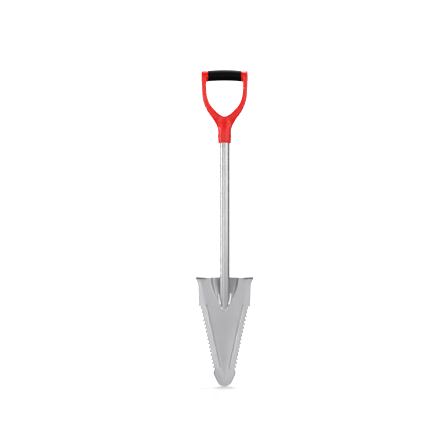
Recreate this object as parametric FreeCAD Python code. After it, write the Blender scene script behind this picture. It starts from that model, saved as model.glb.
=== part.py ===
"""Detecting shovel: a D-grip riveted on a steel tube, which is welded in the trough of a saw-edged blade.

Millimetres. +Z runs up the shaft from the blade's tip, and -Y is the front, the side that the
blade's trough opens to. The model is built round the shaft's axis and moved at the end, so that
the origin is the bottom centre of the whole shovel.
"""

import FreeCAD, Part
import math
import os

from FreeCAD import Vector

# Overall
TOTAL = 800.0
SHEET = 2.0  # the blade's steel
SHAFT_R = 12.7
SHAFT_WALL = 1.5

# Blade, seen from the front
BLADE_TOP = 273.0
WING_SIDE = 66.0  # half-width above the teeth
WING_FOOT = 64.8  # half-width where the wing ends
HORN = 72.3  # half-width at the outer end of a tread
HORN_RISE = 1.7
FLARE_HEIGHT = 20.0
FLARE_MIDDLE = 67.6  # half-width halfway up the flare
NOTCH = 200.0  # height of the step between wing and teeth
NOTCH_CORNER = (1.5, 3.0)  # the wing's cut-off lower corner
TEETH = 16
TOOTH_PITCH = 9.7
TOOTH_DEPTH = 5.4
TOOTH_RAKE = 1.0  # a tooth's inner corner is lower than its point
FIRST_TOOTH = (61.2, 192.5)
LAST_TOOTH_X = 29.6
FIRST_ROOT = (58.5, 199.5)
SHOULDER = (27.9, 34.0)
TAPER_MIDDLE = (22.4, 20.0)
TAPER_END = (16.2, 7.6)
TIP_R = 20.0

# Blade, in depth
BLADE_TILT = 4.0  # the tip comes forward
APEX = 191.0  # lowest point of the trough and of the shaft
TROUGH_R = 50.0
FLANGE_BEND = 16.0  # the toothed sides bend forward
HINGE_LOW = (12.5, 47.0)
HINGE_HIGH = (46.0, 200.0)
GROOVE_R = 2.3
GROOVE_CENTRE = 0.4  # behind the sheet's front
TREAD_INNER = 47.0
TREAD_DEPTH = 12.0
TREAD_BEND_R = 4.0

# Welds
WELD_R = 2.6
WELD_OUT = 1.6  # the bead's centre line, outside the seam
WELD_TOP = 235.0
WELD_SPLIT = 202.0  # where the side beads meet the nose bead
WELD_GAP = 0.4

# Grip
SOCKET_BOTTOM = 614.5
SOCKET_R = 16.5
SOCKET_FIT = 0.05
SOCKET_END = 662.0  # the blind end of the bore
SHAFT_TOP = 660.0
LIP_HEIGHT = 2.6
LIP_GROOVE = 0.7
WAIST = 650.0
ARM_DEPTH = 11.5  # half the arm's size front to back
ARM_ROUND = 4.0
ARM_OUTER = [(58.7, 784.0), (58.0, 755.0), (54.9, 723.0), (45.0, 698.0), (30.4, 677.0)]
ARM_INNER = [(46.2, 784.0), (46.0, 750.0), (44.0, 732.0), (37.2, 713.0), (24.9, 698.0), (12.4, 686.8)]
ARM_CROTCH = 682.0
# The neck's half-width, half-depth, squareness (2 is an ellipse) and height, from the socket up
NECK = [
    (16.2, 16.2, 2.0, 645.0),
    (20.6, 14.6, 2.2, 660.0),
    (25.2, 12.6, 2.8, 669.0),
    (30.4, ARM_DEPTH, 4.0, 677.5),
]
NECK_POINTS = 24
BAR_R = 13.65
BAR_CORE_R = 11.5
BAR_ARCH = 2.3  # the bar's middle is higher than its ends
BAR_END = 46.2
SLEEVE_END = 42.0
RIVET_HEIGHT = 632.0
RIVET_R = 2.5
RIVET_HEAD_R = 3.4
RIVET_HEAD_SEAT = 15.7
RIVET_HEAD_RIM = 16.5  # where the head's dome starts
RIVET_HEAD_TOP = 17.6

# Worked out from the sizes above
RAMP = math.atan2(2 * SHAFT_R, BLADE_TOP - APEX)  # the trough's floor, from the shaft's axis
BAR_HEIGHT = TOTAL - BAR_R - BAR_ARCH  # axis of the bar's ends
FAR = 400.0  # longer than any cut has to be
SPARE = 10.0  # how much a raw piece is larger than its trimmed shape


def mirrored(shape):
    """The same shape on the other side of X = 0."""
    return shape.mirror(Vector(0, 0, 0), Vector(1, 0, 0))


def line(a, b):
    return Part.LineSegment(a, b).toShape()


def arc(a, middle, b):
    return Part.Arc(a, middle, b).toShape()


def front_point(x, z):
    """A point of a front view outline."""
    return Vector(x, -FAR / 2, z)


def prism(edges, depth=FAR):
    """The solid that a closed front view outline sweeps through the shovel."""
    return Part.Face(Part.Wire(edges)).extrude(Vector(0, depth, 0))


def polygon_prism(points, y, depth):
    """A flat plate of the given outline, from y to y + depth."""
    corners = [Vector(x, y, z) for x, z in points]
    return Part.Face(Part.makePolygon(corners + corners[:1])).extrude(Vector(0, depth, 0))


def on_blade(shape):
    """Takes a shape from the blade's own frame, front face at Y = 0 and apex at the origin, to the shovel."""
    placed = shape.copy()
    placed.rotate(Vector(0, 0, 0), Vector(1, 0, 0), -BLADE_TILT)
    placed.translate(Vector(0, -SHAFT_R, APEX))
    return placed


def hinge_x(z):
    """Half-width of the crease between the flat middle and the toothed side, at a height."""
    share = (z - HINGE_LOW[1]) / (HINGE_HIGH[1] - HINGE_LOW[1])
    return HINGE_LOW[0] + share * (HINGE_HIGH[0] - HINGE_LOW[0])


def trough_cylinder(radius):
    """A cylinder round the trough's axis, which leans back by the ramp's angle."""
    along = Vector(0, math.sin(RAMP), math.cos(RAMP))
    forward = Vector(0, -math.cos(RAMP), math.sin(RAMP))
    apex = Vector(0, -SHAFT_R, APEX)
    return Part.makeCylinder(radius, 2 * FAR, apex + forward * TROUGH_R - along * FAR, along)


def tooth_points():
    """One side's teeth from the top: each has a long flank that runs out and down, then steps in."""
    lean = (FIRST_TOOTH[0] - LAST_TOOTH_X) / (TEETH - 1)
    points = [FIRST_ROOT]
    for i in range(TEETH):
        x = FIRST_TOOTH[0] - i * lean
        z = FIRST_TOOTH[1] - i * TOOTH_PITCH
        points.append((x, z))
        points.append((x - TOOTH_DEPTH, z - TOOTH_RAKE))
    return points


def side_edges(side):
    """The outline of one side, from the top corner down to the tip. side is 1 or -1."""
    top = BLADE_TOP - TREAD_BEND_R
    flare_foot = top - FLARE_HEIGHT

    def at(x, z):
        return front_point(side * x, z)

    wing_corner = (WING_FOOT, NOTCH + NOTCH_CORNER[1])
    notch_corner = (WING_FOOT - NOTCH_CORNER[0], NOTCH)
    edges = [
        arc(at(HORN, top), at(FLARE_MIDDLE, top - FLARE_HEIGHT / 2), at(WING_SIDE, flare_foot)),
        line(at(WING_SIDE, flare_foot), at(*wing_corner)),
    ]
    teeth = [wing_corner, notch_corner] + tooth_points() + [SHOULDER]
    edges += [line(at(*a), at(*b)) for a, b in zip(teeth, teeth[1:])]
    round_x = TAPER_END[0] / 2
    round_z = TIP_R - math.sqrt(TIP_R**2 - round_x**2)
    edges.append(arc(at(*SHOULDER), at(*TAPER_MIDDLE), at(*TAPER_END)))
    edges.append(arc(at(*TAPER_END), at(round_x, round_z), at(0, 0)))
    return edges


def outline_prism():
    """The blade's outline, with the top lowered where the treads are bent over."""
    low, high = BLADE_TOP - TREAD_BEND_R, BLADE_TOP
    corners = [(HORN, low), (TREAD_INNER, low), (TREAD_INNER, high)]
    corners += [(-x, z) for x, z in reversed(corners)]
    top = [line(front_point(*a), front_point(*b)) for a, b in zip(corners, corners[1:])]
    return prism(side_edges(1) + top + side_edges(-1))


def middle_plate():
    """The flat middle of the blade, between the two creases."""
    low, high = -SPARE, BLADE_TOP + SPARE
    points = [(hinge_x(low), low), (hinge_x(high), high), (-hinge_x(high), high), (-hinge_x(low), low)]
    return polygon_prism([(x, z - APEX) for x, z in points], 0, SHEET)


def flange():
    """The right toothed side, bent forward about the crease at the sheet's back."""
    low, high = -SPARE, BLADE_TOP + SPARE
    points = [(hinge_x(low), low), (hinge_x(high), high), (2 * HORN, high), (2 * HORN, low)]
    plate = polygon_prism([(x, z - APEX) for x, z in points], 0, SHEET)
    start = Vector(hinge_x(low), SHEET, low - APEX)
    crease = Vector(hinge_x(high), SHEET, high - APEX) - start
    plate.rotate(start, crease, -FLANGE_BEND)
    return plate


def groove(radius):
    """A round-ended bar along the right crease: the groove's inside, or the rib that it makes behind."""
    start = Vector(HINGE_LOW[0], GROOVE_CENTRE, HINGE_LOW[1] - APEX)
    end = Vector(HINGE_HIGH[0], GROOVE_CENTRE, HINGE_HIGH[1] - APEX)
    bar = Part.makeCylinder(radius, (end - start).Length, start, end - start)
    return bar.multiFuse([Part.makeSphere(radius, start), Part.makeSphere(radius, end)])


def behind_front():
    """All the space behind the blade's front face."""
    return Part.makeBox(FAR, FAR, 2 * FAR, Vector(-FAR / 2, 0, -FAR))


def tread():
    """The right foot tread: the wing's top, bent forward in a quarter round, its outer end raised."""
    r, inner = TREAD_BEND_R, TREAD_BEND_R - SHEET
    k = math.sqrt(0.5)  # an arc's middle point
    top, x = BLADE_TOP - APEX, TREAD_INNER
    back, bend_y, bend_z = SHEET, SHEET - r, top - r

    def at(y, z):
        return Vector(x, y, z)

    edges = [
        line(at(back, bend_z - r), at(back, bend_z)),
        arc(at(back, bend_z), at(bend_y + r * k, bend_z + r * k), at(bend_y, top)),
        line(at(bend_y, top), at(-TREAD_DEPTH, top)),
        line(at(-TREAD_DEPTH, top), at(-TREAD_DEPTH, top - SHEET)),
        line(at(-TREAD_DEPTH, top - SHEET), at(bend_y, top - SHEET)),
        arc(at(bend_y, top - SHEET), at(bend_y + inner * k, bend_z + inner * k), at(0, bend_z)),
        line(at(0, bend_z), at(0, bend_z - r)),
        line(at(0, bend_z - r), at(back, bend_z - r)),
    ]
    shape = Part.Face(Part.Wire(edges)).extrude(Vector(HORN - TREAD_INNER, 0, 0))
    rise = math.degrees(math.asin(HORN_RISE / (HORN - TREAD_INNER)))
    shape.rotate(Vector(x, 0, top), Vector(0, 1, 0), -rise)
    return shape


def blade():
    """One pressed sheet: flat middle, toothed sides, grooves, trough and treads."""
    rib = groove(GROOVE_R + SHEET).common(behind_front())
    local = [flange(), rib]
    plates = [middle_plate()] + local + [mirrored(s) for s in local]
    trough_back = trough_cylinder(TROUGH_R + SHEET).common(on_blade(behind_front()))
    sheet = on_blade(plates[0]).multiFuse([on_blade(s) for s in plates[1:]] + [trough_back])
    grooves = [on_blade(groove(GROOVE_R)), on_blade(mirrored(groove(GROOVE_R)))]
    sheet = sheet.cut([trough_cylinder(TROUGH_R)] + grooves).common(outline_prism())
    treads = [on_blade(tread()), on_blade(mirrored(tread()))]
    return sheet.multiFuse(treads).removeSplitter()


def shaft_filled():
    """The shaft with no bore, its foot cut to lie on the trough's floor."""
    top = Part.makeCylinder(SHAFT_R, SHAFT_TOP - BLADE_TOP, Vector(0, 0, BLADE_TOP))
    foot = Part.makeCylinder(SHAFT_R, BLADE_TOP - APEX + SPARE, Vector(0, 0, APEX - SPARE))
    return top.fuse(foot.common(trough_cylinder(TROUGH_R))).removeSplitter()


def rivet_along_x(radius, half_length):
    return Part.makeCylinder(radius, 2 * half_length, Vector(-half_length, 0, RIVET_HEIGHT), Vector(1, 0, 0))


def shaft_tube():
    bore = Part.makeCylinder(SHAFT_R - SHAFT_WALL, TOTAL)
    return shaft_filled().cut([bore, rivet_along_x(RIVET_R + SOCKET_FIT, 2 * SHAFT_R)])


def seam_point(z, side):
    """Where the shaft's side meets the trough at a height, moved out to the weld's centre line."""
    c = math.cos(RAMP)
    centre = -SHAFT_R + (z - APEX) * math.tan(RAMP) - TROUGH_R / c
    # x^2 + y^2 = SHAFT_R^2 on the shaft, x^2 + ((y - centre) c)^2 = TROUGH_R^2 on the trough
    a, b = c**2 - 1, -2 * centre * c**2
    k = (centre * c) ** 2 + SHAFT_R**2 - TROUGH_R**2
    y = (-b + math.sqrt(b**2 - 4 * a * k)) / (2 * a)
    x = math.sqrt(max(SHAFT_R**2 - y**2, 0.0))
    out = 1 + WELD_OUT / SHAFT_R
    return Vector(side * x * out, y * out, z)


def weld_bead(points, body):
    """A round-ended bead along an arc through three points, less the metal that it lies on and is behind."""
    start, middle, end = points
    path = Part.Arc(start, middle, end)
    ring = Part.makeCircle(WELD_R, start, path.tangent(path.FirstParameter)[0])
    bead = Part.Wire(path.toShape()).makePipeShell([Part.Wire(ring)], True, False)
    rounded = bead.multiFuse([Part.makeSphere(WELD_R, start), Part.makeSphere(WELD_R, end)])
    return max(rounded.cut(body).Solids, key=lambda solid: solid.Volume)


def side_weld(side, body):
    low = WELD_SPLIT + WELD_R + WELD_GAP
    heights = (WELD_TOP - WELD_R, (WELD_TOP + low) / 2, low)
    return weld_bead([seam_point(z, side) for z in heights], body)


def nose_weld(body):
    """The bead round the shaft's pointed foot."""
    high = WELD_SPLIT - WELD_R
    foot = Vector(0, -SHAFT_R - WELD_OUT / 2, APEX - WELD_OUT)
    return weld_bead([seam_point(high, -1), foot, seam_point(high, 1)], body)


def arm_plate():
    """The grip's arms and crotch as one flat ring open at the top, with rounded edges."""
    outer = [front_point(x, z) for x, z in ARM_OUTER]
    inner = [front_point(x, z) for x, z in ARM_INNER]
    flip = [Vector(-p.x, p.y, p.z) for p in outer]
    outer_curve = Part.BSplineCurve()
    outer_curve.interpolate(outer)
    other_curve = Part.BSplineCurve()
    other_curve.interpolate(flip)
    inner_curve = Part.BSplineCurve()
    crotch = [front_point(0, ARM_CROTCH)]
    inner_curve.interpolate(inner + crotch + [Vector(-p.x, p.y, p.z) for p in reversed(inner)])
    edges = [
        outer_curve.toShape(),
        line(outer[-1], flip[-1]),
        other_curve.toShape(),
        line(flip[0], Vector(-inner[0].x, inner[0].y, inner[0].z)),
        inner_curve.toShape(),
        line(inner[0], outer[0]),
    ]
    face = Part.Face(Part.Wire(Part.sortEdges(edges)[0]))
    face.translate(Vector(0, FAR / 2 - ARM_DEPTH, 0))
    plate = face.extrude(Vector(0, 2 * ARM_DEPTH, 0))
    curved = [e for e in plate.Edges if isinstance(e.Curve, Part.BSplineCurve)]
    return plate.makeFillet(ARM_ROUND, curved)


def neck_ring(half_x, half_y, squareness, z):
    """A closed curve between an ellipse and a rounded rectangle."""
    points = []
    for i in range(NECK_POINTS):
        turn = 2 * math.pi * i / NECK_POINTS
        c, s = math.cos(turn), math.sin(turn)
        x = math.copysign(abs(c) ** (2 / squareness), c)
        y = math.copysign(abs(s) ** (2 / squareness), s)
        points.append(Vector(half_x * x, half_y * y, z))
    curve = Part.BSplineCurve()
    curve.interpolate(points, PeriodicFlag=True)
    return Part.Wire(curve.toShape())


def neck():
    """The socket's top, which widens and flattens into the crotch."""
    return Part.makeLoft([neck_ring(*size) for size in NECK], True, False)


def bar(radius, end):
    """The arched hand bar, cut square at both ends."""
    reach = BAR_END + SPARE
    sag = BAR_ARCH * (reach / BAR_END) ** 2
    top = BAR_HEIGHT + BAR_ARCH
    start = Vector(-reach, 0, top - sag)
    path = Part.Arc(start, Vector(0, 0, top), Vector(reach, 0, top - sag))
    ring = Part.makeCircle(radius, start, path.tangent(path.FirstParameter)[0])
    pipe = Part.Wire(path.toShape()).makePipeShell([Part.Wire(ring)], True, False)
    box = Part.makeBox(2 * end, 4 * radius, 4 * radius, Vector(-end, -2 * radius, BAR_HEIGHT - 2 * radius))
    return pipe.common(box)


def grip_frame():
    """The moulded grip: socket, neck, arms, and the bar's core under its sleeve."""
    socket = Part.makeCylinder(SOCKET_R, WAIST - SOCKET_BOTTOM, Vector(0, 0, SOCKET_BOTTOM))
    widest = ARM_OUTER[0][0]
    bosses = [
        Part.makeCylinder(BAR_R, widest - SLEEVE_END, Vector(x, 0, BAR_HEIGHT), Vector(1, 0, 0))
        for x in (SLEEVE_END, -widest)
    ]
    body = arm_plate().multiFuse([socket, neck(), bar(BAR_CORE_R, BAR_END)] + bosses)
    bore_depth = SOCKET_END - SOCKET_BOTTOM
    bore = Part.makeCylinder(SHAFT_R + SOCKET_FIT, bore_depth, Vector(0, 0, SOCKET_BOTTOM))
    ring_foot = Vector(0, 0, SOCKET_BOTTOM + LIP_HEIGHT)
    ring = Part.makeCylinder(2 * SOCKET_R, 2 * LIP_GROOVE, ring_foot)
    ring = ring.cut(Part.makeCylinder(SOCKET_R - LIP_GROOVE, 2 * LIP_GROOVE, ring_foot))
    hole = rivet_along_x(RIVET_R + SOCKET_FIT, 2 * SOCKET_R)
    seats = rivet_along_x(RIVET_HEAD_R + SOCKET_FIT, 2 * SOCKET_R)
    seats = seats.cut(rivet_along_x(2 * RIVET_HEAD_R, RIVET_HEAD_SEAT))
    return body.cut([bore, ring, hole, seats]).removeSplitter()


def grip_sleeve():
    """The rubber sleeve, which fills the recess of the bar."""
    return bar(BAR_R, SLEEVE_END).cut(bar(BAR_CORE_R, BAR_END))


def grip_rivet():
    """The cross rivet that holds the shaft in the socket, with a domed head at both ends."""
    rise = RIVET_HEAD_TOP - RIVET_HEAD_RIM
    dome_r = (RIVET_HEAD_R**2 + rise**2) / (2 * rise)
    dome = Part.makeSphere(dome_r, Vector(RIVET_HEAD_TOP - dome_r, 0, RIVET_HEIGHT))
    head_length = RIVET_HEAD_TOP - RIVET_HEAD_SEAT
    foot = Vector(RIVET_HEAD_SEAT, 0, RIVET_HEIGHT)
    head = Part.makeCylinder(RIVET_HEAD_R, head_length, foot, Vector(1, 0, 0)).common(dome)
    return rivet_along_x(RIVET_R, RIVET_HEAD_SEAT).multiFuse([head, mirrored(head)]).removeSplitter()


def main():
    os.makedirs("parts", exist_ok=True)
    blade_sheet = blade()
    metal = [blade_sheet, shaft_filled()]
    shapes = {
        "blade": blade_sheet,
        "shaft_tube": shaft_tube(),
        "weld_left": side_weld(-1, metal),
        "weld_right": side_weld(1, metal),
        "weld_nose": nose_weld(metal),
        "grip_frame": grip_frame(),
        "grip_sleeve": grip_sleeve(),
        "grip_rivet": grip_rivet(),
    }
    box = FreeCAD.BoundBox()
    for shape in shapes.values():
        box.add(shape.optimalBoundingBox())
    to_origin = Vector(0, -box.Center.y, -box.ZMin)
    for node, shape in shapes.items():
        shape.translate(to_origin)
        print(f"{node:12s} solids {len(shape.Solids)} valid {shape.isValid()} volume {shape.Volume:.1f}")
        shape.exportStep(f"parts/{node}.step")
    print(f"moved {to_origin.y:.3f} {to_origin.z:.3f}")
    print(f"box {box.XLength:.2f} {box.YLength:.2f} {box.ZLength:.2f}")


main()
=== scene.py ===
"""Looks of the detecting shovel: detailed blade, welds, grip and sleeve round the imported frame.

Shapes are worked out in millimetres round the shaft's axis, with the blade's tip at height 0 and
the front towards -Y. to_frame() moves them to the row frame, in metres.
"""

import math

import bpy
import numpy as np
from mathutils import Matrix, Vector


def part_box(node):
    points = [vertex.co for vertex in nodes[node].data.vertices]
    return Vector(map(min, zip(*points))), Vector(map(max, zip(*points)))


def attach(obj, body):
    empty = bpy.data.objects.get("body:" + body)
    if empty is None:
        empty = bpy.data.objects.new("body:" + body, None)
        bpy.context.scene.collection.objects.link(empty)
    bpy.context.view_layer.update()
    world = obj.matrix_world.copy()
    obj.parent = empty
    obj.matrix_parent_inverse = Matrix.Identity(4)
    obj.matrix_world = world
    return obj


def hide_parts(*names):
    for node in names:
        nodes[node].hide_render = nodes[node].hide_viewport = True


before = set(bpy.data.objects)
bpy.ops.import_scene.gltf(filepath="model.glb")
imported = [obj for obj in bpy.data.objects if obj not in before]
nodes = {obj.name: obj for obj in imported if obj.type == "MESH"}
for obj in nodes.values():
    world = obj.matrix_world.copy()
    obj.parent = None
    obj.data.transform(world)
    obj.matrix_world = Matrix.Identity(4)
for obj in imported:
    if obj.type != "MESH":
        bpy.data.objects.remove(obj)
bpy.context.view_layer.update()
MM = 0.001
shaft_low, shaft_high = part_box("shaft_tube")
AXIS_Y = (shaft_low.y + shaft_high.y) / 2 / MM
SHAFT_R = (shaft_high.x - shaft_low.x) / 2 / MM

# Blade, as in the CAD part
SHEET = 2.0
TOP = 273.0
APEX = 191.0
TILT = math.tan(math.radians(4.0))
RAMP = math.atan2(2 * SHAFT_R, TOP - APEX)
TROUGH_R = 50.0
BEND = math.tan(math.radians(16.0))
HINGE_LOW = (12.5, 47.0)
HINGE_HIGH = (46.0, 200.0)
HINGE_SLOPE = (HINGE_HIGH[0] - HINGE_LOW[0]) / (HINGE_HIGH[1] - HINGE_LOW[1])
TREAD_INNER, TREAD_DEPTH, TREAD_BEND_R, HORN_RISE = 47.0, 12.0, 4.0, 1.7
TREAD_CORNER = 4.0
SLIT = 0.25

# Blade's pressed relief
BEND_SOFT, TIP_SOFT = 2.5, 10.0
GROOVE_DEPTH, GROOVE_HALF = 1.7, 3.6
DISH = 1.6
TROUGH_HALF, TROUGH_REACH, TROUGH_FLAT = 36.0, 90.0, 0.84
TROUGH_BOW = 0.8  # less than 1 bows the trough's outline outwards
TROUGH_LEAST = 0.1
RIM_ROUND = 0.03
RIM_DEPTH, RIM_WIDE, RIM_INNER = 1.4, 8.0, 0.85

# Heights over which the relief comes in, from none to all of it
BEND_IN, TIP_SOFT_OUT = (-45.0, 60.0), (15.0, 50.0)
DISH_FROM_TOP, DISH_FROM_TIP = (APEX - 4, 120.0), (0.0, 60.0)
GROOVE_FROM_FOOT = (HINGE_LOW[1] - 2.5, HINGE_LOW[1] + 1)
GROOVE_TO_TOP = (HINGE_HIGH[1], HINGE_HIGH[1] + 5)
RIM_IN = (APEX + 8, APEX + 55)

# Blade's outline, as (half-width, height) where a name holds two numbers
TIP_R = 20.0
TIP_TURN = (4, 54.1)  # degrees of the tip's arc, from its lowest point
TIP_LIFT = 0.15  # keeps the tilted sheet's back edge above the floor
TAPER_END, TAPER_MIDDLE, TIP_SHOULDER = (16.2, 7.6), (22.4, 20.0), (27.9, 34.0)
TEETH, TOOTH_PITCH, TOOTH_DEPTH, TOOTH_RAKE = 16, 9.7, 5.4, 1.0
FIRST_TOOTH = (61.2, 192.5)
LAST_TOOTH = (29.6, FIRST_TOOTH[1] - (TEETH - 1) * TOOTH_PITCH)
WING_SIDE, WING_FOOT, HORN = 66.0, 64.8, 72.2
NOTCH = 200.0
NOTCH_OUTLINE = [(FIRST_TOOTH[0] - 2, NOTCH - 0.5), (WING_FOOT - 1.5, NOTCH), (WING_FOOT - 0.4, NOTCH + 1)]
WING_START = (WING_FOOT, NOTCH + 3)
FLARE_HEIGHT, FLARE_BOW = 20.0, 1.6

# Blade's grid
TIP_ROWS, TAPER_ROWS, GULLET_ROWS, TOOTH_ROWS, NOTCH_ROWS, WING_ROWS, FLARE_ROWS = 14, 13, 5, 2, 3, 18, 12
TREAD_COLUMN = 40  # the column that ends at a tread's inner end
COLUMNS = (TREAD_COLUMN, 3, 6, 6, 3, 3)
CREASE_BAND, CREASE_SHARE, ROOT_MARGIN, ROOT_CLEAR, EDGE_BAND = 4.0, 0.16, 1.2, 1.0, 5.5
MIDDLE_TOP_ROWS = (TOP - 2.6, TOP - 1.3, TOP)
TREAD_TURNS, TREAD_STEPS = (18, 36, 54, 72, 90), 6  # degrees round the bend, then steps forward
EDGE_ROUND, EDGE_ANGLE, BLADE_SHARP = 0.35, 50, 40.0
UNWORN = 100.0  # distance to the rim that counts as out of reach of wear

# Welds
WELD_R, WELD_OUT, WELD_SWELLING = 2.8, 2.6, 0.30
NOSE_WELD_R, NOSE_WELD_SWELLING = 1.7, 0.16
WELD_TOP, WELD_SPLIT = 233.0, 202.0
WELD_SINK = 1.1  # a side bead's path ends WELD_R less this above the split
NOSE_IN, NOSE_DROP = 0.5, 0.6
RIPPLE, RIPPLE_POWER, RIPPLE_MEAN, WOBBLE = 2.1, 0.6, 0.4, 0.16
BEAD_STEP, BEAD_AROUND, BEAD_LOOK, BEAD_END = 0.28, 20, 0.5, 0.02
SIDE_PATH, NOSE_PATH = 24, 41
SIDE_SEED, NOSE_SEED = 11, 7
BEAD_SHARP, GRIP_SHARP, SLEEVE_SHARP = 60, 38, 50  # degrees

# Grip
SOCKET_BOTTOM, SOCKET_R, SOCKET_BORE, SOCKET_END = 614.5, 16.5, SHAFT_R + 0.05, 662.0
SOCKET_EDGE = 0.9
LIP_Z, LIP_R, LIP_OUT = 618.0, 1.15, 0.2
WAIST = 650.0
FADE_START, FADE_END = WAIST - 8, WAIST + 36  # where the round socket turns into the flat crotch
NECK_TOP = WAIST + 50
ARM_DEPTH, ARM_ROUND = 11.5, 4.5
PLATE_THIN = 7.5
NECK_BLEND, BOSS_BLEND = 4.8, 1.6
NECK_UNDER = 1  # how much shallower than the arms the neck ends
ARM_OUTER = [
    (58.7, 806.0), (58.6, 784.0), (58.0, 755.0), (54.9, 723.0), (45.0, 698.0),
    (30.4, 677.0), (21.6, 662.0), (15.6, 650.0), (6.0, 634.0),
]
ARM_INNER = [
    (46.2, 784.0), (46.0, 750.0), (44.0, 732.0), (37.2, 713.0), (24.9, 698.0), (12.4, 686.8), (0.0, 682.0),
]
OPENING_TOP = 820.0
BAR_R, BAR_CORE_R, BAR_ARCH, BAR_END, SLEEVE_END = 13.65, 11.5, 2.3, 46.2, 42.0
BAR_TOP = 799.95
BAR_HEIGHT = BAR_TOP - BAR_R - BAR_ARCH
ARM_DEEPENS = (WAIST + 60, BAR_HEIGHT - 6)
BOSS_INNER, BOSS_ROUND, BAR_ZONE = 30, 1.6, 20
RIVET_HEIGHT, RIVET_SEAT, RIVET_SEAT_R = 632.0, 15.7, 3.45
CURVE_STEPS = 8
GRIP_GRID, GRIP_GRID_QUICK, NECK_GRID, LIP_GRID = 1.15, 2.4, 0.8, 0.4
GRIP_X, GRIP_Y, GRIP_FOOT, LIP_END, NECK_END, GRIP_HEAD = 60.0, 18.0, 613.3, 622.0, 640.0, 801.0
SLEEVE_AROUND, SLEEVE_STEPS, SLEEVE_EDGE = 72, 84, 0.7
SLEEVE_TURNS, SLEEVE_GAP = 6, (0.01, 0.02)


# --- helpers ---------------------------------------------------------------------------------


def to_frame(points):
    """Points in mm round the shaft's axis, as metres in the row frame."""
    return (np.asarray(points, float) + (0.0, AXIS_Y, 0.0)) * MM


def new_object(name, points, faces):
    mesh = bpy.data.meshes.new(name)
    mesh.from_pydata(to_frame(points).tolist(), [], [tuple(int(i) for i in f) for f in faces])
    mesh.validate()
    made = bpy.data.objects.new(name, mesh)
    bpy.context.scene.collection.objects.link(made)
    return made


def bake_modifiers(made, sharp_degrees):
    """Replaces the object's mesh by the one its modifiers give, smooth but for its sharp edges."""
    graph = bpy.context.evaluated_depsgraph_get()
    mesh = bpy.data.meshes.new_from_object(made.evaluated_get(graph))
    made.modifiers.clear()
    made.data = mesh
    mesh.shade_smooth()
    mesh.set_sharp_from_angle(angle=math.radians(sharp_degrees))


def place(made, slot, *replaced):
    """Puts the object on the one body, in the place of these CAD nodes, which it hides. The slot is not
    used.
    """
    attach(made, "root")
    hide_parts(*replaced)


def smooth_step(low, high, value):
    t = np.clip((value - low) / (high - low), 0.0, 1.0)
    return t * t * (3 - 2 * t)


def smooth_min(a, b, soft):
    """The lesser of two distances, blended where they differ by less than soft."""
    blend = np.maximum(soft - np.abs(a - b), 0.0)
    return np.minimum(a, b) - blend**2 / (4 * soft)


# --- blade -----------------------------------------------------------------------------------


def hinge_x(z):
    """Half-width of the crease between the blade's middle and its toothed side."""
    return HINGE_LOW[0] + (z - HINGE_LOW[1]) * HINGE_SLOPE


def plane_y(z):
    return -SHAFT_R + (z - APEX) * TILT


def trough_depth(x, z):
    """How far the pressed trough lies behind the blade's plane: soft rim, steep walls, round floor."""
    under_shaft = x**2 / (2 * TROUGH_R)
    beside_shaft = SHAFT_R / TROUGH_R * (x - SHAFT_R / 2)
    floor = (z - APEX) * (math.tan(RAMP) - TILT) - np.where(x < SHAFT_R, under_shaft, beside_shaft)
    rise = np.clip((z - APEX) / TROUGH_REACH, 0.0, 1.0)
    wall = np.maximum(TROUGH_HALF * np.sin(rise * math.pi / 2) ** TROUGH_BOW, TROUGH_LEAST)
    rim_share = smooth_step(*RIM_IN, z)
    rim = np.minimum(RIM_DEPTH * rim_share, np.maximum(floor, 0.0))
    inward = np.clip((wall - x) / ((1 - TROUGH_FLAT) * wall), 0.0, 1.0)
    inward = np.clip(np.hypot(inward, RIM_ROUND) - RIM_ROUND, 0.0, 1.0)
    deep = np.maximum(floor - rim, 0.0) * (1 - (1 - inward) ** 2)
    rim_end = wall + RIM_WIDE * rim_share + TROUGH_LEAST
    return deep + rim * (1 - smooth_step(RIM_INNER * wall, rim_end, x))


def blade_y(x, z):
    """Depth of the blade's front face."""
    x = np.abs(x)
    across = (x - hinge_x(z)) / math.hypot(1.0, HINGE_SLOPE)
    soft = BEND_SOFT + TIP_SOFT * (1 - smooth_step(*TIP_SOFT_OUT, z))
    bend = BEND * (across + np.sqrt(across**2 + soft**2) - soft) / 2 * smooth_step(*BEND_IN, z)
    inside = np.clip(x / np.maximum(hinge_x(z), 1.0), 0.0, 1.0)
    dish = DISH * smooth_step(*DISH_FROM_TOP, z) * smooth_step(*DISH_FROM_TIP, z) * (1 - inside**2)
    ends = smooth_step(*GROOVE_FROM_FOOT, z) * (1 - smooth_step(*GROOVE_TO_TOP, z))
    groove = np.cos(np.clip(across / GROOVE_HALF, -1, 1) * math.pi / 2) ** 2 * GROOVE_DEPTH * ends
    return plane_y(z) - bend + dish + groove + trough_depth(x, z)


def spread(a, b, count):
    """count pairs from a towards b, without b."""
    return [(a[0] + (b[0] - a[0]) * i / count, a[1] + (b[1] - a[1]) * i / count) for i in range(count)]


def through(points, heights):
    """Half-widths at these heights on the parabola through three (half-width, height) points."""
    widths, at = zip(*points)
    return np.polyval(np.polyfit(at, widths, 2), heights)


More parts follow.
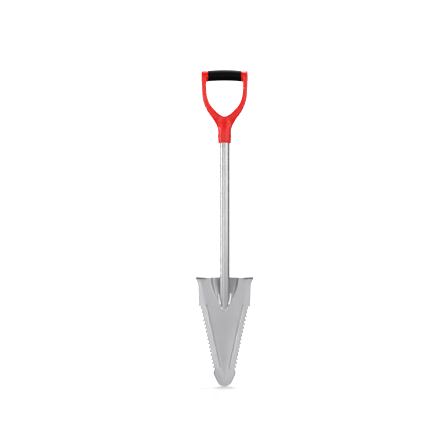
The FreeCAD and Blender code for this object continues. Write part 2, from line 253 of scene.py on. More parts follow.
def outline():
    """(half-width, height) of the blade's side, from the tip up to the treads' bend."""
    turn = np.radians(np.linspace(*TIP_TURN, TIP_ROWS))
    tip = np.stack([TIP_R * np.sin(turn), TIP_R * (1 - np.cos(turn))], 1)
    tip *= (TAPER_END[0] / tip[-1, 0], (TAPER_END[1] - TIP_LIFT) / tip[-1, 1])
    rows = [(x, z + TIP_LIFT) for x, z in tip[:-1]]
    heights = np.linspace(TAPER_END[1], TIP_SHOULDER[1], TAPER_ROWS)[:-1]
    rows += list(zip(through((TAPER_END, TAPER_MIDDLE, TIP_SHOULDER), heights), heights))
    lean = (FIRST_TOOTH[0] - LAST_TOOTH[0]) / (TEETH - 1)
    below = TIP_SHOULDER
    for i in reversed(range(TEETH)):
        point = (FIRST_TOOTH[0] - i * lean, FIRST_TOOTH[1] - i * TOOTH_PITCH)
        root = (point[0] - TOOTH_DEPTH, point[1] - TOOTH_RAKE)
        rows += spread(below, root, GULLET_ROWS) + spread(root, point, TOOTH_ROWS)
        below = point
    rows += spread(below, NOTCH_OUTLINE[0], NOTCH_ROWS) + NOTCH_OUTLINE
    high = TOP - TREAD_BEND_R
    flare_foot = high - FLARE_HEIGHT
    rows += spread(WING_START, (WING_SIDE, flare_foot), WING_ROWS)
    flare_middle = (WING_SIDE + FLARE_BOW, flare_foot + FLARE_HEIGHT / 2)
    heights = np.linspace(flare_foot, high, FLARE_ROWS)
    return rows + list(zip(through(((WING_SIDE, flare_foot), flare_middle, (HORN, high)), heights), heights))


def row_columns(width, z):
    """Where a row's columns lie from the middle out: they follow the creases and the teeth's roots."""
    level = max(z, TIP_SHOULDER[1])
    reach = width if z > TIP_SHOULDER[1] else TIP_SHOULDER[0]
    hinge = hinge_x(level)
    lean = (FIRST_TOOTH[0] - LAST_TOOTH[0]) / (FIRST_TOOTH[1] - LAST_TOOTH[1])
    tooth_line = LAST_TOOTH[0] + (level - LAST_TOOTH[1]) * lean
    if level < NOTCH:
        root = min(tooth_line - TOOTH_DEPTH, reach) - ROOT_MARGIN
    else:
        root = reach - EDGE_BAND
    inner = hinge - min(CREASE_BAND, CREASE_SHARE * hinge)
    outer = min(hinge + CREASE_BAND, root - ROOT_CLEAR)
    tread_end = hinge * TREAD_INNER / hinge_x(TOP - TREAD_BEND_R)
    guides = [0.0, tread_end, inner, hinge, outer, root, reach]
    columns = []
    for a, b, count in zip(guides, guides[1:], COLUMNS):
        columns += [a + (b - a) * i / count for i in range(count)]
    return np.array(columns + [reach]) * (width / reach)


def tread_rows(x, y):
    """Points of a tread's lower face above one column's top: round the bend, then forward."""
    out = (abs(x) - TREAD_INNER) / (HORN - TREAD_INNER)
    inner = TREAD_BEND_R - SHEET
    bend_z = TOP - TREAD_BEND_R
    rows = []
    for turn in np.radians(TREAD_TURNS):
        rows.append((y - inner * (1 - math.cos(turn)), bend_z + inner * math.sin(turn)))
    corner = max(0.0, (abs(x) - HORN + TREAD_CORNER) / TREAD_CORNER)
    edge = plane_y(TOP) - TREAD_DEPTH + TREAD_CORNER * (1 - math.sqrt(max(0.0, 1 - corner**2)))
    start = rows[-1][0]
    steps = range(1, TREAD_STEPS + 1)
    rows += [(start + (edge - start) * i / TREAD_STEPS, bend_z + inner) for i in steps]
    placed = []
    for depth, height in rows:
        forward = (y - depth) * TILT
        lift = HORN_RISE * out * min(1.0, (height - bend_z) / inner)
        placed.append((x, depth, height + forward + lift))
    return placed


def face_row(xs, z):
    """A row of points on the blade's front face, all at one height."""
    zs = np.full(len(xs), z)
    return list(zip(xs, blade_y(xs, zs), zs))


def add_middle_top(points, faces, rim, below):
    """The sheet between the treads, above the row of points below."""
    for z in MIDDLE_TOP_ROWS:
        xs = np.array([points[i][0] for i in below])
        xs[0], xs[-1] = -TREAD_INNER + SLIT, TREAD_INNER - SLIT
        above = list(range(len(points), len(points) + len(xs)))
        points += face_row(xs, z)
        rim += [UNWORN] * len(xs)
        faces += [(a, b, d, c) for a, b, c, d in zip(below, below[1:], above, above[1:])]
        below = above


def add_tread(points, faces, rim, columns, side):
    """A tread on the tops of these columns."""
    strips = []
    for i in columns:
        x, y, _ = points[i]
        added = tread_rows(x, y)
        strips.append([i] + list(range(len(points), len(points) + len(added))))
        points += added
        rim += [UNWORN] * len(added)
    for a, b in zip(strips, strips[1:]):
        quads = zip(a, b, b[1:], a[1:])
        faces += [q if side > 0 else q[::-1] for q in quads]


def blade_surface():
    """The blade's front face as a grid of rows and columns, with each point's distance from the edge."""
    rows = outline()
    points, faces, rim = [], [], []
    for width, z in rows:
        columns = row_columns(width, z)
        xs = np.concatenate([-columns[:0:-1], columns])
        points += face_row(xs, z)
        rim += list(width - np.abs(xs) + (0.0 if z < NOTCH else UNWORN))
    across = sum(COLUMNS) + 1
    wide = 2 * across - 1
    for r in range(len(rows) - 1):
        for c in range(wide - 1):
            a = r * wide + c
            faces.append((a, a + 1, a + wide + 1, a + wide))
    middle = (len(rows) - 1) * wide + across - 1
    add_middle_top(points, faces, rim, list(range(middle - TREAD_COLUMN, middle + TREAD_COLUMN + 1)))
    for side in (-1, 1):
        columns = [middle + side * c for c in range(TREAD_COLUMN, across)]
        add_tread(points, faces, rim, columns, side)
    return points, faces, rim


def make_blade():
    points, faces, rim = blade_surface()
    blade = new_object("blade_sheet", points, faces)
    values = blade.data.attributes.new("rim_mm", "FLOAT", "POINT")
    values.data.foreach_set("value", np.asarray(rim, np.float32))
    thick = blade.modifiers.new("thickness", "SOLIDIFY")
    thick.thickness = SHEET * MM
    thick.offset = -1.0
    thick.use_even_offset = True
    thick.use_quality_normals = True
    edge = blade.modifiers.new("edges", "BEVEL")
    edge.width = EDGE_ROUND * MM
    edge.segments = 2
    edge.limit_method = "ANGLE"
    edge.angle_limit = math.radians(EDGE_ANGLE)
    bake_modifiers(blade, BLADE_SHARP)
    place(blade, "silver_paint", "blade")
    return blade


# --- welds -----------------------------------------------------------------------------------


def seam_point(z, side):
    """Where the shaft's side meets the trough, moved out to the weld's centre line."""
    c = math.cos(RAMP)
    centre = -SHAFT_R + (z - APEX) * math.tan(RAMP) - TROUGH_R / c
    a, b = c**2 - 1, -2 * centre * c**2
    k = (centre * c) ** 2 + SHAFT_R**2 - TROUGH_R**2
    y = (-b + math.sqrt(b**2 - 4 * a * k)) / (2 * a)
    x = math.sqrt(max(SHAFT_R**2 - y**2, 0.0))
    out = 1 + WELD_OUT / SHAFT_R
    return Vector((side * x * out, y * out, z))


def weld_bead(name, path, node, seed, bead_r, swelling):
    """A rippled bead along a dense path: overlapping rounds like a row of coins, with rounded ends."""
    draw = np.random.default_rng(seed)
    path = [Vector(p) for p in path]
    along = np.concatenate([[0.0], np.cumsum([(b - a).length for a, b in zip(path, path[1:])])])
    total = along[-1]
    steps = int(total / BEAD_STEP)
    wobble = draw.uniform(-WOBBLE, WOBBLE, int(total / RIPPLE) + 3)

    def at(distance):
        return Vector([np.interp(distance, along, [p[k] for p in path]) for k in range(3)])

    points = []
    for i in range(steps + 1):
        s = total * i / steps
        here = at(s)
        forward = (at(min(s + BEAD_LOOK, total)) - at(max(s - BEAD_LOOK, 0.0))).normalized()
        across = forward.cross(Vector((0, 1, 0))).normalized()
        up = across.cross(forward).normalized()
        coin, phase = divmod(s / RIPPLE, 1.0)
        swell = swelling * (math.sin(math.pi * phase) ** RIPPLE_POWER - RIPPLE_MEAN + wobble[int(coin)] * 2)
        end = min(s, total - s) / bead_r
        radius = (bead_r + swell) * math.sqrt(max(BEAD_END, 1 - max(0.0, 1 - end) ** 2))
        for turn in np.linspace(0, 2 * math.pi, BEAD_AROUND, endpoint=False):
            points.append(here + (across * math.cos(turn) + up * math.sin(turn)) * radius)
    faces = []
    for i in range(steps):
        for j in range(BEAD_AROUND):
            a, b = i * BEAD_AROUND + j, i * BEAD_AROUND + (j + 1) % BEAD_AROUND
            faces.append((a, b, b + BEAD_AROUND, a + BEAD_AROUND))
    faces.append(tuple(reversed(range(BEAD_AROUND))))
    faces.append(tuple(range(steps * BEAD_AROUND, (steps + 1) * BEAD_AROUND)))
    bead = new_object(name, points, faces)
    bake_modifiers(bead, BEAD_SHARP)
    place(bead, "silver_paint", node)
    return bead


def side_weld(side, node):
    """The bead beside the shaft, from its top down to just above the nose bead."""
    low = WELD_SPLIT + WELD_R - WELD_SINK
    path = [seam_point(z, side) for z in np.linspace(WELD_TOP, low, SIDE_PATH)]
    return weld_bead(node + "_bead", path, node, SIDE_SEED + side, WELD_R, WELD_SWELLING)


def nose_weld():
    """The bead round the shaft's pointed foot."""
    start = seam_point(WELD_SPLIT - WELD_R, 1)
    foot = Vector((0, -SHAFT_R + NOSE_IN, APEX - NOSE_DROP))
    path = []
    for t in np.linspace(-1, 1, NOSE_PATH):
        x = start.x * math.sin(t * math.pi / 2)
        drop = math.cos(t * math.pi / 2)
        path.append(Vector((x, start.y + (foot.y - start.y) * drop, start.z + (foot.z - start.z) * drop)))
    return weld_bead("weld_nose_bead", path, "weld_nose", NOSE_SEED, NOSE_WELD_R, NOSE_WELD_SWELLING)


def make_welds():
    return [side_weld(-1, "weld_left"), side_weld(1, "weld_right"), nose_weld()]


# --- grip ------------------------------------------------------------------------------------


def smooth_curve(points):
    """A Catmull-Rom curve through points, as a list of points."""
    p = np.asarray(points, float)
    p = np.concatenate([[2 * p[0] - p[1]], p, [2 * p[-1] - p[-2]]])
    out = []
    for a, b, c, d in zip(p, p[1:], p[2:], p[3:]):
        for t in np.linspace(0, 1, CURVE_STEPS, endpoint=False):
            square = (2 * a - 5 * b + 4 * c - d) * t**2
            cube = (3 * b - a - 3 * c + d) * t**3
            out.append(0.5 * (2 * b + (c - a) * t + square + cube))
    return np.array(out + [p[-2]])


def polygon_distance(polygon, x, z):
    """Signed distance from a closed polygon, less than 0 inside."""
    best = np.full(x.shape, 1e9)
    inside = np.zeros(x.shape, bool)
    for (x0, z0), (x1, z1) in zip(polygon, np.roll(polygon, -1, axis=0)):
        ex, ez = x1 - x0, z1 - z0
        wx, wz = x - x0, z - z0
        t = np.clip((wx * ex + wz * ez) / max(ex * ex + ez * ez, 1e-9), 0, 1)
        best = np.minimum(best, (wx - ex * t) ** 2 + (wz - ez * t) ** 2)
        if z0 != z1:
            inside ^= ((z0 > z) != (z1 > z)) & (x < ex * wz / (z1 - z0) + x0)
    return np.where(inside, -1, 1) * np.sqrt(best)


def closed_pair(side, *top):
    """A closed outline: one side's points, the top's, then the side mirrored."""
    return np.concatenate([side, *top, side[::-1] * (-1, 1)])


# The point mirrored beyond the middle makes the curve level where it reaches the middle
beyond_middle = (-ARM_INNER[-2][0], ARM_INNER[-2][1])
opening_side = smooth_curve([beyond_middle] + ARM_INNER[::-1])[CURVE_STEPS:]
opening_top = [(ARM_INNER[0][0], OPENING_TOP), (-ARM_INNER[0][0], OPENING_TOP)]
OUTER = closed_pair(smooth_curve(ARM_OUTER))
INNER = closed_pair(opening_side, opening_top)


def rounded_pair(a, b, radius):
    """Where both distances hold, with a rounded edge."""
    a, b = a + radius, b + radius
    return np.minimum(np.maximum(a, b), 0) + np.hypot(np.maximum(a, 0), np.maximum(b, 0)) - radius


def arms_distance(x, y, z):
    depth = PLATE_THIN + (ARM_DEPTH - PLATE_THIN) * smooth_step(WAIST, FADE_END, z)
    depth = depth + (BAR_R - ARM_DEPTH) * smooth_step(*ARM_DEEPENS, z)
    outer = np.maximum(polygon_distance(OUTER, x, z), z - BAR_HEIGHT)
    return rounded_pair(outer, y - depth, ARM_ROUND)


def neck_distance(x, y, z):
    """The round socket, which flattens to the arms' depth above the waist."""
    half_y = SOCKET_R - (SOCKET_R - ARM_DEPTH + NECK_UNDER) * smooth_step(FADE_START, FADE_END, z)
    neck = (np.sqrt((x / SOCKET_R) ** 2 + (y / half_y) ** 2) - 1) * np.minimum(SOCKET_R, half_y)
    return rounded_pair(neck, np.maximum(SOCKET_BOTTOM - z, z - NECK_TOP), SOCKET_EDGE)


def with_bar(body, x, y, z):
    """Adds the bar's two ends and its core, with the recess for the sleeve between the ends."""
    bar = np.hypot(y, z - BAR_HEIGHT)
    boss = rounded_pair(bar - BAR_R, np.maximum(x - ARM_OUTER[0][0], BOSS_INNER - x), BOSS_ROUND)
    body = smooth_min(body, boss, BOSS_BLEND)
    body = np.where(z > BAR_HEIGHT - BAR_ZONE, np.maximum(body, SLEEVE_END - x), body)
    core = np.hypot(y, z - BAR_HEIGHT - BAR_ARCH * (1 - (x / BAR_END) ** 2)) - BAR_CORE_R
    return np.minimum(body, np.maximum(core, x - BAR_END))


def grip_distance(p):
    """About the signed distance from the red moulding's surface."""
    x, y, z = np.abs(p[:, 0]), np.abs(p[:, 1]), p[:, 2]
    body = smooth_min(arms_distance(x, y, z), neck_distance(x, y, z), NECK_BLEND)
    body = rounded_pair(body, -polygon_distance(INNER, x, z), ARM_ROUND)
    body = with_bar(body, x, y, z)
    bore = np.maximum(np.hypot(x, y) - SOCKET_BORE, z - SOCKET_END)
    lip = np.hypot(np.hypot(x, y) - SOCKET_R - LIP_OUT, z - LIP_Z) - LIP_R
    seat = np.maximum(np.hypot(y, z - RIVET_HEIGHT) - RIVET_SEAT_R, RIVET_SEAT - x)
    for hollow in (bore, lip, seat):
        body = np.maximum(body, -hollow)
    return body


def along(axis, first, last, rest):
    """Slices that take first and last along one axis, and rest along the two others."""
    low, high = [rest] * 3, [rest] * 3
    low[axis], high[axis] = first, last
    return tuple(low), tuple(high)


def cell_points(field, grid):
    """A point in each grid cell that the surface crosses, the mean of its crossed edges, and their index."""
    shape = field.shape
    total = np.zeros(tuple(n - 1 for n in shape) + (3,))
    hits = np.zeros(tuple(n - 1 for n in shape))
    for axis in range(3):
        low, high = along(axis, slice(None, -1), slice(1, None), slice(None))
        a, b = field[low], field[high]
        crosses = (a < 0) != (b < 0)
        share = np.where(crosses, a / np.where(crosses, a - b, 1.0), 0.0)[..., None]
        where = grid[low] * (1 - share) + grid[high] * share
        others = [k for k in range(3) if k != axis]
        for i in (0, 1):
            for j in (0, 1):
                part = [slice(None)] * 3
                part[others[0]] = slice(i, shape[others[0]] - 1 + i)
                part[others[1]] = slice(j, shape[others[1]] - 1 + j)
                total += np.where(crosses[..., None], where, 0.0)[tuple(part)]
                hits += crosses[tuple(part)]
    used = hits > 0
    index = np.full(used.shape, -1)
    index[used] = np.arange(used.sum())
    return total[used] / hits[used][:, None], index


def cell_quads(field, index):
    """A quad across each grid edge that the surface crosses, between the points of its four cells."""
    faces = []
    for axis in range(3):
        low, high = along(axis, slice(None, -1), slice(1, None), slice(1, -1))
        a, b = field[low] < 0, field[high] < 0
        crossed = np.argwhere(a != b)
        rising = a[tuple(crossed.T)]
        corners = []
        for i, j in ((0, 0), (1, 0), (1, 1), (0, 1)):
            cell = crossed.copy()
            cell[:, (axis + 1) % 3] += i
            cell[:, (axis + 2) % 3] += j
            corners.append(index[tuple(cell.T)])
        quads = np.stack(corners, 1)
        faces.append(np.where(rising[:, None], quads, quads[:, ::-1]))
    return np.concatenate(faces)


def isosurface(distance, xs, ys, zs):
    """Points and quads of the surface where distance is 0, on a grid of those planes."""
    grid = np.stack(np.meshgrid(xs, ys, zs, indexing="ij"), -1)
    field = distance(grid.reshape(-1, 3)).reshape(grid.shape[:3])
    points, index = cell_points(field, grid)
    return onto_surface(distance, points), cell_quads(field, index)


def onto_surface(distance, points, rounds=3, step=0.05, longest=0.5, least_slope=0.2):
    """Moves points that are near the surface where distance is 0 onto it."""
    for _ in range(rounds):
        value = distance(points)
        slope = np.stack([distance(points + np.eye(3)[k] * step) - value for k in range(3)], 1) / step
        size = np.maximum((slope**2).sum(1), least_slope)
        points = points - np.clip(slope * (value / size)[:, None], -longest, longest)
    return points


def levels(*stretches):
    """Grid planes: each stretch is (start, end, spacing)."""
    out = []
    for start, end, spacing in stretches:
        out.append(np.arange(start, end - spacing / 2, spacing))
    return np.concatenate(out + [[stretches[-1][1]]])


def make_grip():
    """The red moulding, on a grid that is finest at the socket's lip."""
    coarse = GRIP_GRID
    xs = levels((-GRIP_X, GRIP_X, coarse))
    ys = levels((-GRIP_Y, GRIP_Y, coarse))
    lip, neck = (GRIP_FOOT, LIP_END, LIP_GRID), (LIP_END, NECK_END, NECK_GRID)
    zs = levels(lip, neck, (NECK_END, GRIP_HEAD, coarse))
    points, faces = isosurface(grip_distance, xs, ys, zs)
    grip = new_object("grip_moulding", points, faces)
    bake_modifiers(grip, GRIP_SHARP)
    place(grip, "grip_red", "grip_frame")
    return grip


def sleeve_profile():
    """(place along the bar, radius) of the sleeve's outside, with rounded ends, open towards the bar."""
    turns = np.linspace(0, math.pi / 2, SLEEVE_TURNS)
    end = [(SLEEVE_END - SLEEVE_GAP[0], BAR_CORE_R + SLEEVE_GAP[1])]
    for t in turns:
        end.append((SLEEVE_END - SLEEVE_EDGE * (1 - math.cos(t)), BAR_R - SLEEVE_EDGE * (1 - math.sin(t))))
    straight = np.linspace(SLEEVE_EDGE - SLEEVE_END, SLEEVE_END - SLEEVE_EDGE, SLEEVE_STEPS)
    return [(-x, r) for x, r in end] + [(x, BAR_R) for x in straight[1:-1]] + end[::-1]


def make_sleeve():
    """The rubber sleeve, swept along the bar's arch."""
    profile = sleeve_profile()
    points = []
    for x, radius in profile:
        centre = BAR_HEIGHT + BAR_ARCH * (1 - (x / BAR_END) ** 2)
        for turn in np.linspace(0, 2 * math.pi, SLEEVE_AROUND, endpoint=False):
            points.append((x, radius * math.sin(turn), centre + radius * math.cos(turn)))
    faces = []
    rings = len(profile)
    for i in range(rings):
        here, beyond = i * SLEEVE_AROUND, (i + 1) % rings * SLEEVE_AROUND
        for j in range(SLEEVE_AROUND):
            k = (j + 1) % SLEEVE_AROUND
            faces.append((here + j, here + k, beyond + k, beyond + j))
    sleeve = new_object("grip_sleeve_rubber", points, faces)
    bake_modifiers(sleeve, SLEEVE_SHARP)
    place(sleeve, "sleeve_black", "grip_sleeve")
    return sleeve


# --- materials -------------------------------------------------------------------------------

BLADE_SILVER = (0.450, 0.451, 0.466, 1), (0.525, 0.526, 0.541, 1)
FLAKE_SILVER = (0.54, 0.54, 0.552, 1)
SCUFF_GREY = (0.25, 0.25, 0.256, 1)
WORN_GREY = (0.20, 0.20, 0.206, 1)
SHAFT_SILVER = (0.365, 0.370, 0.375, 1), (0.400, 0.405, 0.410, 1)
# Weld beads' silver, lighter than the blade's as a painted highlight
WELD_SILVER_PAINTED_HIGHLIGHT = (0.80, 0.80, 0.815, 1), (0.90, 0.90, 0.91, 1)
GRIP_RED = (0.90, 0.010, 0.008, 1), (0.96, 0.015, 0.011, 1)
RUBBER_BLACK = (0.0012, 0.0012, 0.0018, 1), (0.003, 0.003, 0.0036, 1)
ZINC_GREY = (0.16, 0.14, 0.14, 1), (0.30, 0.28, 0.27, 1)


def new_material(name):
    material = bpy.data.materials.new(name)
    material.use_nodes = True
    return material, material.node_tree, material.node_tree.nodes["Principled BSDF"]


def add(tree, kind, **values):
    """A node with its properties and unlinked inputs set by name."""
    node = tree.nodes.new(kind)
    for key, value in values.items():
        if hasattr(node, key):
            setattr(node, key, value)
        else:
            node.inputs[key.replace("_", " ")].default_value = value
    return node


def object_coordinates(tree, scale=(1, 1, 1)):
    coordinates = add(tree, "ShaderNodeTexCoord")
    mapping = add(tree, "ShaderNodeMapping")
    mapping.inputs["Scale"].default_value = scale
    tree.links.new(coordinates.outputs["Object"], mapping.inputs["Vector"])
    return mapping.outputs["Vector"]


def noise(tree, vector, scale, detail=4.0, roughness=0.55):
    node = add(tree, "ShaderNodeTexNoise", Scale=scale, Detail=detail, Roughness=roughness)
    tree.links.new(vector, node.inputs["Vector"])
    return node.outputs["Fac"]


def ramp(tree, value, low, high, start=0.0, end=1.0):
    node = add(tree, "ShaderNodeMapRange")
    node.inputs["From Min"].default_value = low
    node.inputs["From Max"].default_value = high
    node.inputs["To Min"].default_value = start
    node.inputs["To Max"].default_value = end
    tree.links.new(value, node.inputs["Value"])
    return node.outputs["Result"]


def spread_out(tree, value, start=0.0, end=1.0):
    """start to end over the middle of a noise's range, where most of it lies."""
    return ramp(tree, value, 0.3, 0.7, start, end)


def mix(tree, factor, a, b):
    node = add(tree, "ShaderNodeMix", data_type="RGBA")
    tree.links.new(factor, node.inputs[0])
    for value, socket in ((a, node.inputs[6]), (b, node.inputs[7])):
        if isinstance(value, tuple):
            socket.default_value = value
        else:
            tree.links.new(value, socket)
    return node.outputs[2]


def math_node(tree, operation, a, b):
    node = add(tree, "ShaderNodeMath", operation=operation)
    for value, socket in ((a, node.inputs[0]), (b, node.inputs[1])):
        if isinstance(value, (int, float)):
            socket.default_value = value
        else:
            tree.links.new(value, socket)
    return node.outputs[0]


def bump(tree, height, distance, strength=1.0, normal=None):
    node = add(tree, "ShaderNodeBump", Strength=strength, Distance=distance)
    tree.links.new(height, node.inputs["Height"])
    if normal is not None:
        tree.links.new(normal, node.inputs["Normal"])
    return node.outputs["Normal"]


def blade_paint():
    """Silver paint on pressed steel: fine orange peel, cloudy tone, scuffs, and a worn toothed edge."""
    material, tree, shader = new_material("silver_paint_blade")
    link = tree.links.new
    vector = object_coordinates(tree)
    cloud = noise(tree, vector, 14.0, 5.0)
    flake = noise(tree, vector, 2600.0, 2.0)
    tone = mix(tree, spread_out(tree, cloud), *BLADE_SILVER)
    tone = mix(tree, ramp(tree, flake, 0.35, 0.8, 0.0, 0.35), tone, FLAKE_SILVER)
    streaks = noise(tree, object_coordinates(tree, (1.0, 1.0, 0.12)), 420.0, 3.0)
    scuff = math_node(tree, "MULTIPLY", ramp(tree, streaks, 0.62, 0.72), ramp(tree, cloud, 0.5, 0.75))
    tone = mix(tree, math_node(tree, "MULTIPLY", scuff, 0.35), tone, SCUFF_GREY)
    rim = add(tree, "ShaderNodeAttribute", attribute_name="rim_mm").outputs["Fac"]
    ragged = math_node(tree, "ADD", rim, spread_out(tree, noise(tree, vector, 700.0, 3.0), -0.9, 0.9))
    worn = ramp(tree, ragged, 3.2, 1.2)
    tone = mix(tree, math_node(tree, "MULTIPLY", worn, 0.75), tone, WORN_GREY)
    link(tone, shader.inputs["Base Color"])
    rough = spread_out(tree, cloud, 0.40, 0.50)
    rough = math_node(tree, "SUBTRACT", rough, math_node(tree, "MULTIPLY", worn, 0.12))
    link(rough, shader.inputs["Roughness"])
    shader.inputs["Metallic"].default_value = 0.6
    peel = bump(tree, noise(tree, vector, 520.0, 3.0), 0.00006, 0.5)
    link(bump(tree, streaks, 0.00004, 0.35, peel), shader.inputs["Normal"])
    return material


def shaft_paint():
    """The shaft's silver: smoother, with faint drawn lines along the tube."""
    material, tree, shader = new_material("silver_paint_shaft")
    link = tree.links.new
    drawn = noise(tree, object_coordinates(tree, (1.0, 1.0, 0.01)), 300.0, 2.0)
    cloud = noise(tree, object_coordinates(tree), 18.0, 4.0)
    link(mix(tree, spread_out(tree, drawn), *SHAFT_SILVER), shader.inputs["Base Color"])
    link(spread_out(tree, cloud, 0.31, 0.36), shader.inputs["Roughness"])
    shader.inputs["Metallic"].default_value = 0.8
    peel = bump(tree, noise(tree, object_coordinates(tree), 500.0, 2.0), 0.000006, 0.15)
    link(bump(tree, drawn, 0.000005, 0.1, peel), shader.inputs["Normal"])
    return material


def weld_paint():
    """Paint over a weld bead: glossier than the sheet, with fine spatter, and a lighter base colour that is
    a painted highlight.
    """
    material, tree, shader = new_material("silver_paint_weld_painted_highlight")
    link = tree.links.new
    vector = object_coordinates(tree)
    cloud = noise(tree, vector, 260.0, 4.0)
    # The beads' lighter base colour is a painted highlight
    link(mix(tree, ramp(tree, cloud, 0.35, 0.7), *WELD_SILVER_PAINTED_HIGHLIGHT), shader.inputs["Base Color"])
    link(spread_out(tree, cloud, 0.26, 0.40), shader.inputs["Roughness"])
    shader.inputs["Metallic"].default_value = 0.5
    link(bump(tree, noise(tree, vector, 1300.0, 3.0), 0.00008, 0.5), shader.inputs["Normal"])
    return material


def red_plastic():
    """Moulded red plastic: satin gloss, faint flow marks, fine grain and a mould line round the side."""
    material, tree, shader = new_material("red_plastic")
    link = tree.links.new
    vector = object_coordinates(tree)
    flow = noise(tree, object_coordinates(tree, (1.0, 1.0, 0.35)), 30.0, 4.0)
    link(mix(tree, spread_out(tree, flow), *GRIP_RED), shader.inputs["Base Color"])
    link(spread_out(tree, noise(tree, vector, 60.0, 4.0), 0.27, 0.36), shader.inputs["Roughness"])
    shader.inputs["Specular IOR Level"].default_value = 0.30
    parts = add(tree, "ShaderNodeSeparateXYZ")
    link(vector, parts.inputs[0])
    offset = math_node(tree, "ABSOLUTE", math_node(tree, "SUBTRACT", parts.outputs["Y"], AXIS_Y * MM), 0.0)
    mould_line = ramp(tree, offset, 0.00035, 0.00015)
    grain = bump(tree, noise(tree, vector, 1500.0, 2.0), 0.00002, 0.4)
    link(bump(tree, mould_line, 0.00012, 0.7, grain), shader.inputs["Normal"])
    return material


def black_rubber():
    """Matte black rubber with a pebbled skin and a little bloom."""
    material, tree, shader = new_material("black_rubber")
    link = tree.links.new
    vector = object_coordinates(tree)
    bloom = noise(tree, vector, 45.0, 5.0)
    link(mix(tree, ramp(tree, bloom, 0.35, 0.75), *RUBBER_BLACK), shader.inputs["Base Color"])
    link(spread_out(tree, bloom, 0.50, 0.64), shader.inputs["Roughness"])
    shader.inputs["Specular IOR Level"].default_value = 0.07
    cells = add(tree, "ShaderNodeTexVoronoi", feature="SMOOTH_F1", Scale=900.0)
    link(vector, cells.inputs["Vector"])
    link(bump(tree, cells.outputs["Distance"], 0.00012, 0.5), shader.inputs["Normal"])
    return material


def rivet_steel():
    """Dull zinc-grey rivet."""
    material, tree, shader = new_material("rivet_steel")
    link = tree.links.new
    stain = noise(tree, object_coordinates(tree), 900.0, 4.0)
    link(mix(tree, ramp(tree, stain, 0.35, 0.7), *ZINC_GREY), shader.inputs["Base Color"])
    link(spread_out(tree, stain, 0.35, 0.5), shader.inputs["Roughness"])
    shader.inputs["Metallic"].default_value = 0.85
    link(bump(tree, stain, 0.00004, 0.4), shader.inputs["Normal"])
    return material


def paint(made, material):
    made.data.materials.clear()
    made.data.materials.append(material)


# --- studio ----------------------------------------------------------------------------------

FLOOR_FRONT, FLOOR_BACK, FLOOR_SIDE = -7.0, 3.0, 8.0
SWEEP_R, SWEEP_START, SWEEP_STEPS, BACKDROP_TOP = 1.5, 0.1, 14, 6.0
GLOW_START, GLOW_END = 0.3, 1.6  # how far behind the object the floor's glow grows
GLOW_NEAR, GLOW_FAR = 0.10, 1.3
WORLD_STRENGTH = 0.06
CAMERA_DISTANCE, CAMERA_HEIGHT, CAMERA_SIDE = 3.2, 0.4088, -0.0015
SEEN_WIDTH, SENSOR_WIDTH = 1.138, 36.0

# Name, place, aim, width, height (m) and power (W)
LAMPS = [
    ("side_left", (-2.0, -0.17, 0.60), (0, 0, 0.4), 0.5, 1.6, 28.0),
    ("stripe_left", (-1.30, -1.00, 1.55), (0, 0, 0.95), 0.60, 0.80, 5.0),
    ("softbox_right", (1.44, -0.97, 1.07), (0, 0, 0.9), 1.4, 1.7, 20.0),
    ("front", (0.0, -4.3, 0.65), (0, 0, 0.4), 3.8, 1.2, 22.0),
    ("front_left_low", (-1.8, -3.2, 0.40), (0, 0, 0.3), 3.0, 0.7, 28.0),
    ("front_right", (1.7, -3.3, 0.80), (0, 0, 0.4), 1.6, 1.4, 17.0),
    ("side_right", (1.97, -0.35, 0.60), (0, 0, 0.4), 0.6, 1.6, 2.0),
    ("back_fill", (0.0, 2.6, 1.6), (0, 0, 0.4), 0.7, 1.6, 45.0),
    ("top_back", (0.30, 0.70, 2.90), (0, 0, 0), 0.6, 0.6, 55.0),
]


def studio_white():
    """White that glows more towards the back, so that the backdrop stays even."""
    material, tree, shader = new_material("studio_white")
    shader.inputs["Base Color"].default_value = (0.9, 0.9, 0.9, 1)
    shader.inputs["Roughness"].default_value = 0.9
    shader.inputs["Specular IOR Level"].default_value = 0.1
    shader.inputs["Emission Color"].default_value = (1, 1, 1, 1)
    parts = add(tree, "ShaderNodeSeparateXYZ")
    tree.links.new(object_coordinates(tree), parts.inputs[0])
    glow = ramp(tree, parts.outputs["Y"], GLOW_START, GLOW_END, GLOW_NEAR, GLOW_FAR)
    tree.links.new(glow, shader.inputs["Emission Strength"])
    return material


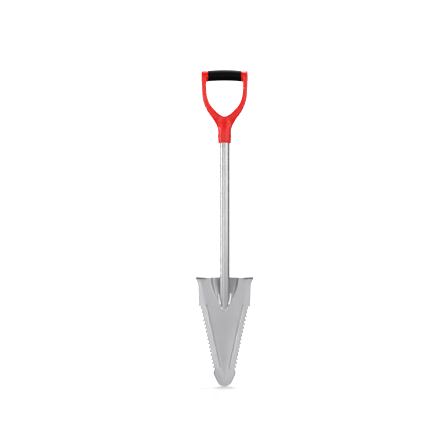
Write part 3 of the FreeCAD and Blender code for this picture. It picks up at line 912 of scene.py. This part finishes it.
def studio_sweep():
    """White floor that curves up into a backdrop."""
    profile = [(FLOOR_FRONT, 0.0), (FLOOR_BACK, 0.0)]
    for turn in np.linspace(SWEEP_START, math.pi / 2, SWEEP_STEPS):
        profile.append((FLOOR_BACK + SWEEP_R * math.sin(turn), SWEEP_R * (1 - math.cos(turn))))
    profile += [(FLOOR_BACK + SWEEP_R, BACKDROP_TOP)]
    points = [(x, y, z) for y, z in profile for x in (-FLOOR_SIDE, FLOOR_SIDE)]
    faces = [(2 * i, 2 * i + 1, 2 * i + 3, 2 * i + 2) for i in range(len(profile) - 1)]
    mesh = bpy.data.meshes.new("studio_sweep")
    mesh.from_pydata(points, [], faces)
    mesh.shade_smooth()
    sweep = bpy.data.objects.new("studio_sweep", mesh)
    bpy.context.scene.collection.objects.link(sweep)
    paint(sweep, studio_white())
    sweep.visible_diffuse = False
    sweep.visible_glossy = False


def area_light(name, place_at, aim, width, height, watts):
    light = bpy.data.lights.new(name, "AREA")
    light.shape = "RECTANGLE"
    light.size, light.size_y = width, height
    light.energy = watts
    lamp = bpy.data.objects.new(name, light)
    bpy.context.scene.collection.objects.link(lamp)
    lamp.location = place_at
    lamp.rotation_mode = "QUATERNION"
    lamp.rotation_quaternion = (Vector(aim) - Vector(place_at)).to_track_quat("-Z", "Y")
    lamp.visible_camera = False


def lights():
    world = bpy.data.worlds.new("studio_world")
    bpy.context.scene.world = world
    world.use_nodes = True
    backdrop = world.node_tree.nodes["Background"]
    backdrop.inputs["Color"].default_value = (0.93, 0.95, 1.0, 1)
    backdrop.inputs["Strength"].default_value = WORLD_STRENGTH
    for lamp in LAMPS:
        area_light(*lamp)


def camera():
    """Level with the middle of the frame, a long lens as a product photographer uses."""
    data = bpy.data.cameras.new("camera")
    data.sensor_width = SENSOR_WIDTH
    data.lens = SENSOR_WIDTH * CAMERA_DISTANCE / SEEN_WIDTH
    data.clip_end = 100.0
    made = bpy.data.objects.new("camera", data)
    bpy.context.scene.collection.objects.link(made)
    made.location = (CAMERA_SIDE, AXIS_Y * MM - CAMERA_DISTANCE, CAMERA_HEIGHT)
    made.rotation_euler = (math.pi / 2, 0, 0)
    bpy.context.scene.camera = made


def main():
    camera()
    lights()
    studio_sweep()
    bpy.context.scene.view_settings.view_transform = "Standard"
    paint(make_blade(), blade_paint())
    bead_paint = weld_paint()
    for bead in make_welds():
        paint(bead, bead_paint)
    paint(make_grip(), red_plastic())
    paint(make_sleeve(), black_rubber())
    nodes["shaft_tube"].material_slots[0].material = shaft_paint()
    nodes["grip_rivet"].material_slots[0].material = rivet_steel()


main()
